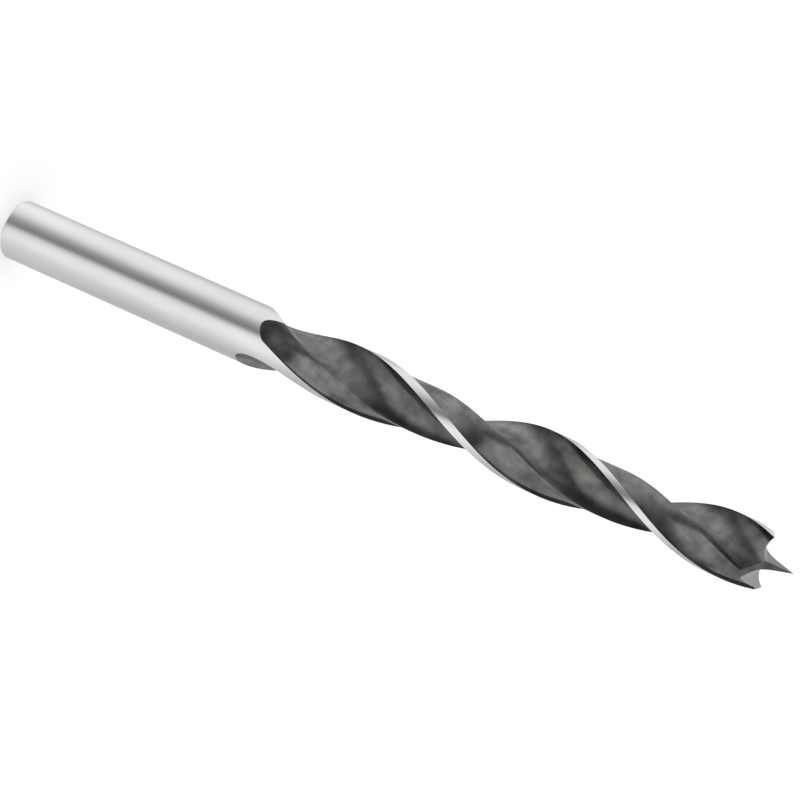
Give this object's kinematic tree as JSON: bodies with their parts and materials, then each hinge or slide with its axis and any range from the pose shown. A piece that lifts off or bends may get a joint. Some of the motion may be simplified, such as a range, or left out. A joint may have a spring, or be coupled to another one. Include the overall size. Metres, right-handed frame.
{
  "type": "brad point drill bit",
  "caption": "Right-hand twisted wood drill bit with a plain round shank, a centre point and two outer spurs.",
  "frame": {"origin": "centre of the flat end of the shank", "axes": "+Z along the axis of the bit from the shank to the centre point, X along the two cutting lips"},
  "size_m": [0.009, 0.009, 0.125],
  "materials": {
    "ground_steel": "bright ground shank and margins, darker satin flutes"
  },
  "bodies": {
    "root": {"drill_bit": "ground_steel"}
  },
  "joints": []
}
